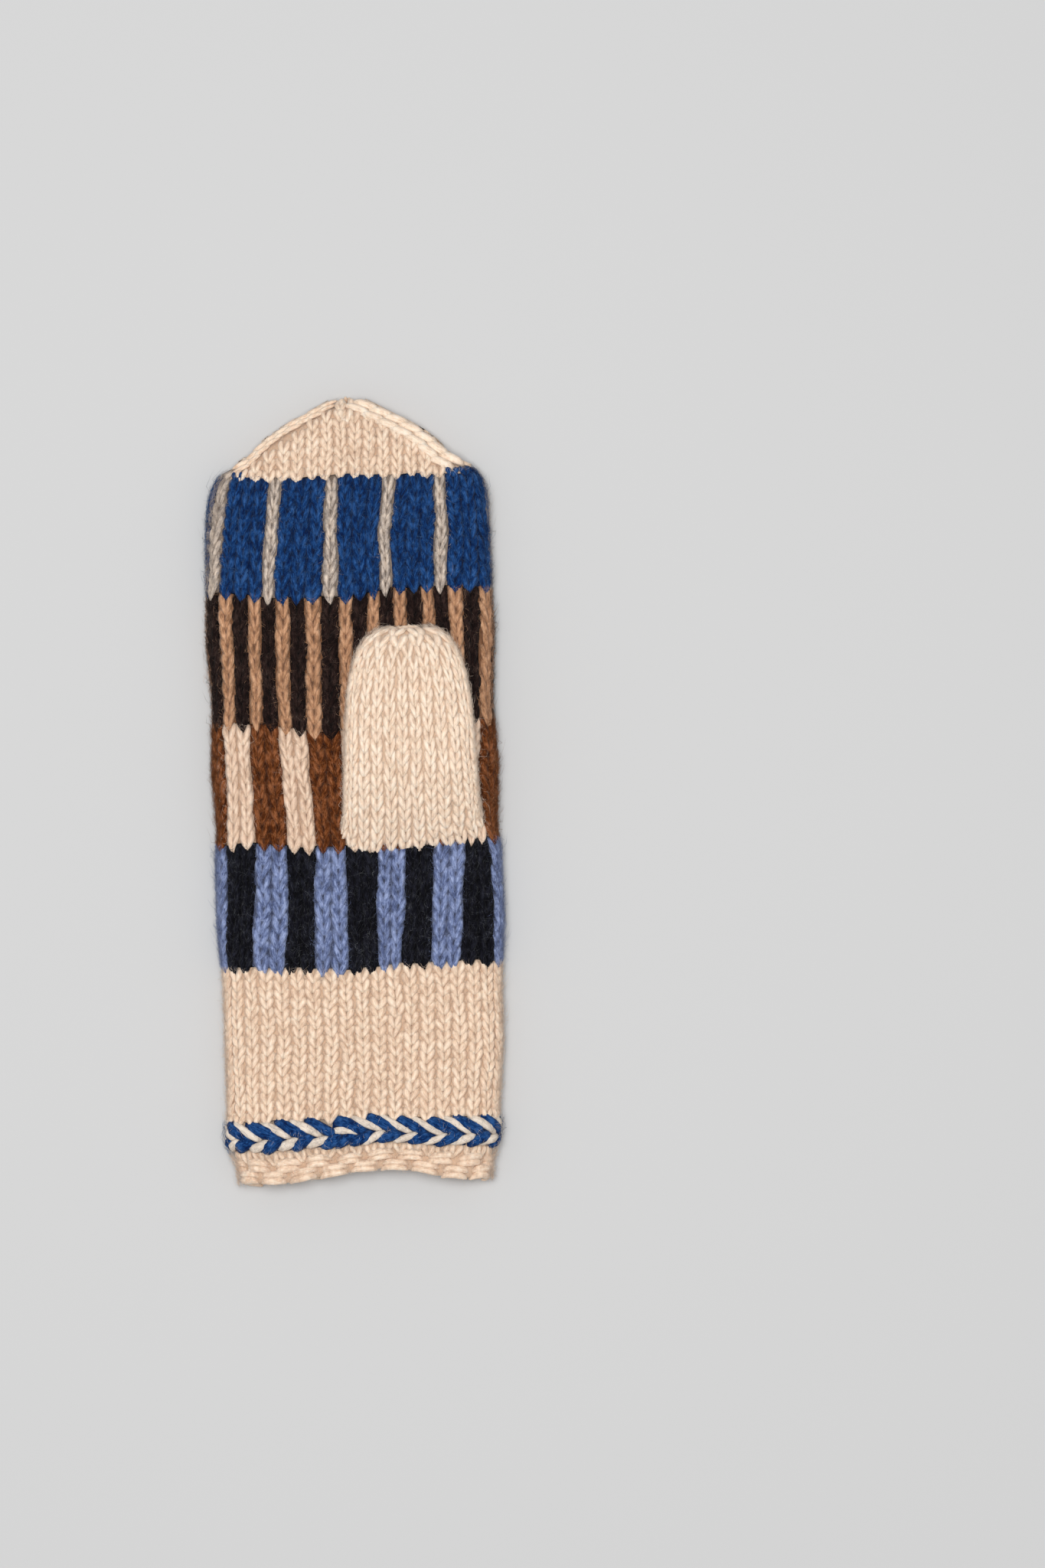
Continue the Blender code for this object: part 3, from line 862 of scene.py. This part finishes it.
def add_noise(tree, place, scale, detail):
    """Add a noise pattern that is stretched by its own scale on each axis."""
    mapping = tree.nodes.new("ShaderNodeMapping")
    mapping.inputs["Scale"].default_value = scale
    link(tree, place, mapping.inputs["Vector"])
    noise = tree.nodes.new("ShaderNodeTexNoise")
    noise.inputs["Scale"].default_value = 1.0
    noise.inputs["Detail"].default_value = detail
    noise.inputs["Roughness"].default_value = 0.6
    link(tree, mapping.outputs["Vector"], noise.inputs["Vector"])
    return noise.outputs["Fac"]


def blend_values(tree, first, second, share):
    """Mix two values."""
    mix = tree.nodes.new("ShaderNodeMix")
    mix.data_type = "FLOAT"
    mix.inputs["Factor"].default_value = share
    link(tree, first, mix.inputs[2])
    link(tree, second, mix.inputs[3])
    return mix.outputs[0]


def wool(name, dark, mid, light):
    """Make a yarn: streaks of darker and lighter fibre along it, heathered over the cloth, and painted shade
    between its stitches.
    """
    material = bpy.data.materials.new(name + "_wool")
    material.use_nodes = True
    tree = material.node_tree
    shader = tree.nodes["Principled BSDF"]
    attribute = tree.nodes.new("ShaderNodeAttribute")
    attribute.attribute_name = "fibre"
    fibre = attribute.outputs["Vector"]
    coordinates = tree.nodes.new("ShaderNodeTexCoord")
    streaks = add_noise(tree, fibre, STREAKS, 3.0)
    hairs = add_noise(tree, fibre, FINE_STREAKS, 2.0)
    heather = add_noise(tree, coordinates.outputs["Object"], HEATHER, 2.0)
    fine = blend_values(tree, streaks, hairs, FINE_SHARE)
    tone = blend_values(tree, fine, heather, HEATHER_SHARE)
    ramp = tree.nodes.new("ShaderNodeValToRGB")
    spread = FLECK_SPREAD.get(name, 0.1)
    stops = ramp.color_ramp.elements
    stops.new(0.5)
    for stop, place, colour in zip(stops, (0.5 - spread, 0.5, 0.5 + 1.2 * spread), (dark, mid, light)):
        stop.position = place
        stop.color = (*colour, 1.0)
    link(tree, tone, ramp.inputs["Fac"])
    # Painted shade: where a point's shade is low, the colour is mixed towards a darker, browner copy of the
    # dark tone
    depth = tree.nodes.new("ShaderNodeAttribute")
    depth.attribute_name = "shade"
    shaded = tree.nodes.new("ShaderNodeMix")
    shaded.data_type = "RGBA"
    shade_share = PAINTED_SHADE_TONES.get(name, 0.5)
    shaded.inputs[6].default_value = (dark[0] * shade_share, dark[1] * shade_share ** 1.3, dark[2] * shade_share ** 1.6, 1.0)
    link(tree, depth.outputs["Fac"], shaded.inputs["Factor"])
    link(tree, ramp.outputs["Color"], shaded.inputs[7])
    link(tree, shaded.outputs[2], shader.inputs["Base Color"])
    bump = tree.nodes.new("ShaderNodeBump")
    bump.inputs["Strength"].default_value = 0.6
    bump.inputs["Distance"].default_value = 0.15 * MM
    link(tree, fine, bump.inputs["Height"])
    link(tree, bump.outputs["Normal"], shader.inputs["Normal"])
    values = {"Roughness": 0.95, "Specular IOR Level": 0.1, "Sheen Weight": SHEENS.get(name, 0.02),
              "Sheen Roughness": 0.5, "Subsurface Weight": SOFTNESS.get(name, 0.0),
              "Subsurface Radius": (1.0, 0.8, 0.65), "Subsurface Scale": SOFT_REACH}
    for socket, value in values.items():
        shader.inputs[socket].default_value = value


def knit_band(name, cloth, seed):
    """Knit one striped band of the mitten."""
    rng = np.random.default_rng(seed)
    start, end = node_span(name)
    columns, starts, heights = stitch_grid(name, cloth.around, start, end)
    if name == "finger_band":
        columns, starts, heights = add_shoulders(cloth, columns, starts, heights, end)
    stitches = knit(cloth, name, columns, starts, heights, rng)
    finish_piece(name + "_knit", name, cloth, [stitches], start, end, rng)


def add_shoulders(cloth, columns, starts, heights, end):
    """Add part of a row at the outer columns, where the blue reaches past the tip's edges."""
    outer = np.arange(cloth.around) + 0.5
    quarter = cloth.around / 4
    middle = np.where(outer < 2 * quarter, quarter, 3 * quarter)
    inner = np.where(outer < quarter, SHOULDER_LEFT, SHOULDER_RIGHT)
    outer = outer[np.abs(outer - middle) * cloth.pitch > inner]
    starts = np.append(starts, np.full(outer.shape, end))
    heights = np.append(heights, np.full(outer.shape, SHOULDER_ROW))
    return np.append(columns, outer), starts, heights


def knit_tip(cloth, seed):
    """Knit the tip: plain columns cut off by a chain of decreases along each slanted edge."""
    rng = np.random.default_rng(seed)
    start, end = node_span("tip")
    columns, starts, heights = stitch_grid("tip", cloth.around, start, end)
    quarter = cloth.around / 4
    on_palm = columns < 2 * quarter
    x = np.abs(columns - np.where(on_palm, quarter, 3 * quarter)) * cloth.pitch
    half_width = section_size(starts + heights * 0.6)[0]
    margin = np.where(columns < quarter, TIP_LEFT, TIP_RIGHT)
    kept = x < half_width - np.where(on_palm, margin, -TIP_UNDER)
    stitches = knit(cloth, "tip", columns[kept], starts[kept], heights[kept], rng)
    meshes = [stitches] + [lay_chain(*chain, rng) for chain in CHAINS] + [lay_knob(end, rng)]
    finish_piece("tip_knit", "tip", cloth, meshes, start, end - TIP_CLOSE, rng)


def edge_line(side, inset):
    """Give a line of points along one slanted edge of the tip, on the palm's side."""
    start, end = node_span("tip")
    along = np.linspace(start + CHAIN_ENDS, end - CHAIN_ENDS, 60)
    half_width, thickness = section_size(along)
    x = np.maximum(half_width - inset, CHAIN_MEET)
    z = face_height(half_width, thickness, np.minimum(x / half_width, CHAIN_EDGE))
    return np.stack([side * x, along, z], axis=1)


def copies_on_line(shape, line, width, length, side, rng):
    """Lay copies of a shape end to end along a line, each turned to follow it."""
    walked = walk(line)
    count = int(round(walked[-1] / length))
    stops = (np.arange(count) + 0.5) * walked[-1] / count
    places = follow(line, walked, stops)
    along = unit(follow(line, walked, stops + CHAIN_AHEAD) - places)
    sideways = unit(np.cross(along, (0.0, 0.0, 1.0)) * side)
    outward = sideways * CHAIN_LEAN + np.array([0.0, 0.0, 1.0])
    outward = unit(outward - along * np.sum(outward * along, axis=1, keepdims=True))
    across = np.cross(along, outward)
    size = 1 + UNEVEN_SIZE * rng.standard_normal((count, 1, 1))
    x, y, z = np.split((shape.points - SHINGLE_MIDDLE)[None], 3, axis=2)
    y = y * walked[-1] / count
    return places[:, None] + width * size * (across[:, None] * x + outward[:, None] * z) + along[:, None] * y


def lay_chain(side, width, length, yarn, rng):
    """Lay one chain of decreases along a slanted edge."""
    shingle = model_shingle(side)
    line = edge_line(side, width * 0.5)
    points = copies_on_line(shingle, line, width, length, side, rng)
    yarns = np.full(len(points), YARN_NAMES.index(yarn))
    return repeat_shape(shingle, points, yarns, rng, (width / MM, width / MM, length / MM))


def lay_knob(end, rng):
    """Lay the few upright stitches that gather the very end."""
    stitch = model_stitch()
    yarns = np.array([YARN_NAMES.index("pale")])
    meshes = []
    for x, y, face, dip in KNOB:
        thickness = section_size(end + (y + 2.0) * MM)[1]
        points = stitch.points * KNOB_SIZE * (face, 1, face) * MM
        points += (x * MM, end + y * MM, (thickness if face > 0 else 0.0) + face * KNOB_LIFT)
        points[:, 2] -= face * dip * MM * np.clip(stitch.points[:, 1], 0, 1)
        points[:, 2] = np.maximum(points[:, 2], FLOOR_CLEARANCE)
        meshes.append(repeat_shape(stitch, points[None], yarns, rng, (5.0, 5.0, 3.4)))
    return join_meshes(meshes)


def model_strand(stops, sides):
    """Model one strand of yarn on its own."""
    extrude_strand(stops, sides)
    bpy.ops.object.mode_set(mode="OBJECT")
    points, faces = read_shape(bpy.context.object)
    # Painted shade: the strand's colour is painted darker below its top
    high = max(stop.out + stop.high for stop in stops)
    low = min(stop.out for stop in stops)
    return Shape(points, faces, strand_fibre(points, stops), shade_depth(points[:, 2], high - 0.8, low))


def model_bump():
    """Model a purl bump: two plies of yarn side by side."""
    ply = model_strand(BUMP, 7)
    along, out = PLY_STEP
    points = np.concatenate([ply.points + (side * BUMP_PLY / 2, side * along + 0.5, -out * (side < 0))
                             for side in (-1, 1)])
    faces = np.concatenate([ply.faces, ply.faces + len(ply.points)])
    fibre = np.concatenate([ply.fibre, ply.fibre + (0.0, 0.0, PLY_SHIFT)])
    return Shape(points, faces, fibre, np.tile(ply.shade, 2))


def lay_strands(cloth, strand, starts, ends, yarns, rng):
    """Lay a strand from each start to each end, given as columns and lengths along."""
    starts, ends = np.array(starts), np.array(ends)
    run = (ends - starts) * np.array([cloth.pitch, 1.0])
    length = np.linalg.norm(run, axis=1)
    forward = run / length[:, None]
    thick = np.array([STRAND_SIZES.get(YARN_NAMES[yarn], 1.0) for yarn in yarns])[:, None]
    size = thick * (1 + UNEVEN_STRAND * rng.standard_normal((len(starts), 1)))
    x, part, z = strand.points.T
    x = x * MM * size
    column = starts[:, :1] + (ends - starts)[:, :1] * part - forward[:, 1:] * x / cloth.pitch
    along = starts[:, 1:] + (ends - starts)[:, 1:] * part + forward[:, :1] * x
    points = lay(cloth, column, along, z * MM * size)
    return repeat_shape(strand, points, yarns, rng, (1.0, 1.0, float(np.mean(length)) / MM))


def plait_braid(cloth, seed):
    """Plait the raised braid: slanted strands of two yarns that meet in chevrons."""
    rng = np.random.default_rng(seed)
    strand = model_strand(BRAID_STRAND, 8)
    start, end = node_span("braid")
    height = end - start
    starts, ends, yarns = [], [], []
    for number in range(cloth.around):
        slip = rng.uniform(-BRAID_SLIP, BRAID_SLIP)
        yarn = CHARTS["braid"][number % 2]
        halves = ((UPPER_STRAND, slip, yarn), (LOWER_STRAND, -slip, yarn))
        if number == BRAID_JOIN:
            halves = ((JOIN_STRAND, 0.0, yarn), (LOWER_STRAND, -slip, "blue"))
        for (first, last), shift, yarn in halves:
            starts.append((number + first[0] + shift, start + first[1] * height))
            ends.append((number + last[0] + shift, start + last[1] * height))
            yarns.append(YARN_NAMES.index(yarn))
    strands = lay_strands(cloth, strand, starts, ends, np.array(yarns), rng)
    finish_piece("braid_strands", "braid", cloth, [strands], start, end, rng)


def knit_hem(cloth, seed):
    """Knit the hem: a narrow row of stitches over two staggered rows of wide purl bumps."""
    rng = np.random.default_rng(seed)
    start, end = node_span("hem")
    height = end - start
    columns = np.arange(cloth.around) + 0.5
    row = knit(cloth, "hem", columns, start + HEM_ROW * height, (1 - HEM_ROW) * height, rng)
    width = cloth.around / HEM_BUMPS
    starts, ends = [], []
    for number, share in enumerate(BUMP_ROWS):
        for middle in (np.arange(HEM_BUMPS) + 0.5 * number) * width:
            place = start + share * height + rng.uniform(*BUMP_PLACES) * MM
            slant = rng.uniform(*BUMP_SLANTS) * MM
            starts.append((middle - width / 2, place - slant / 2))
            ends.append((middle + width / 2, place + slant / 2))
    yarns = chart_yarn("hem", np.zeros(len(starts)))
    bumps = lay_strands(cloth, model_bump(), starts, ends, yarns, rng)
    finish_piece("hem_knit", "hem", cloth, [row, bumps], start, end, rng, HEM_INSET)


def knit_thumb(cloth, seed):
    """Knit the thumb, with fewer columns in its last rows."""
    rng = np.random.default_rng(seed)
    length = cloth.step * (len(cloth.points) - 1)
    height = length / ROWS["thumb"]
    columns, starts, widths = [], [], []
    for row in range(ROWS["thumb"]):
        count = THUMB_CLOSING.get(ROWS["thumb"] - row, THUMB_COLUMNS)
        width = THUMB_COLUMNS / count
        for number in range(count):
            columns.append((number + 0.5) * width)
            starts.append(row * height)
            widths.append(width)
    stitches = knit(cloth, "thumb", np.array(columns), np.array(starts), height, rng, np.array(widths))
    finish_piece("thumb_knit", "thumb", cloth, [stitches], 0.0, length, rng)


def add_camera():
    """Look straight down on the mitten, turned a little, with the mitten left of the middle."""
    camera = bpy.data.objects.new("camera", bpy.data.cameras.new("camera"))
    camera.data.sensor_fit = "VERTICAL"
    camera.data.sensor_height = SENSOR
    camera.data.lens = SENSOR * (CAMERA_HEIGHT - FRAME_LEVEL) / FRAME_HEIGHT
    right = Vector((math.cos(CAMERA_TURN), -math.sin(CAMERA_TURN), 0.0))
    up = Vector((math.sin(CAMERA_TURN), math.cos(CAMERA_TURN), 0.0))
    camera.location = right * CAMERA_RIGHT + up * CAMERA_UP + Vector((0.0, 0.0, CAMERA_HEIGHT))
    camera.rotation_euler = (0.0, 0.0, -CAMERA_TURN)
    bpy.context.scene.collection.objects.link(camera)
    bpy.context.scene.camera = camera


def add_lamp():
    """Hang a square soft lamp that faces the mitten."""
    lamp = bpy.data.objects.new("overhead", bpy.data.lights.new("overhead", "AREA"))
    lamp.data.size = LAMP_SIZE
    lamp.data.energy = LAMP_POWER
    lamp.location = LAMP_PLACE
    lamp.rotation_euler = (-Vector(LAMP_PLACE)).to_track_quat("-Z", "Y").to_euler()
    bpy.context.scene.collection.objects.link(lamp)


def add_studio():
    """Lay a plain pale floor under soft even light."""
    bpy.ops.mesh.primitive_plane_add(size=4.0)
    floor = bpy.context.object
    floor.name = "floor"
    paper = bpy.data.materials.new("pale_paper")
    paper.use_nodes = True
    shader = paper.node_tree.nodes["Principled BSDF"]
    shader.inputs["Base Color"].default_value = PAPER
    shader.inputs["Roughness"].default_value = 0.9
    floor.data.materials.append(paper)
    world = bpy.data.worlds.new("studio")
    world.use_nodes = True
    background = world.node_tree.nodes["Background"]
    background.inputs["Color"].default_value = (1.0, 1.0, 1.0, 1.0)
    background.inputs["Strength"].default_value = STUDIO_LIGHT
    bpy.context.scene.world = world
    add_lamp()
    bpy.context.scene.view_settings.view_transform = "Standard"


def main():
    """Dress the mitten."""
    add_camera()
    add_studio()
    for name, tones in YARNS.items():
        wool(name, *tones)
    hand = make_body_cloth(*HAND, DRIFTS)
    rim = make_body_cloth(*RIM)
    knit_hem(rim, 9)
    plait_braid(rim, 10)
    knit_band("cuff", make_body_cloth(*CUFF), 11)
    for seed, name in enumerate(("wrist_band", "palm_band", "knuckle_band", "finger_band"), 12):
        knit_band(name, hand, seed)
    knit_tip(make_body_cloth(*TIP), 16)
    knit_thumb(make_thumb_cloth(), 17)


main()
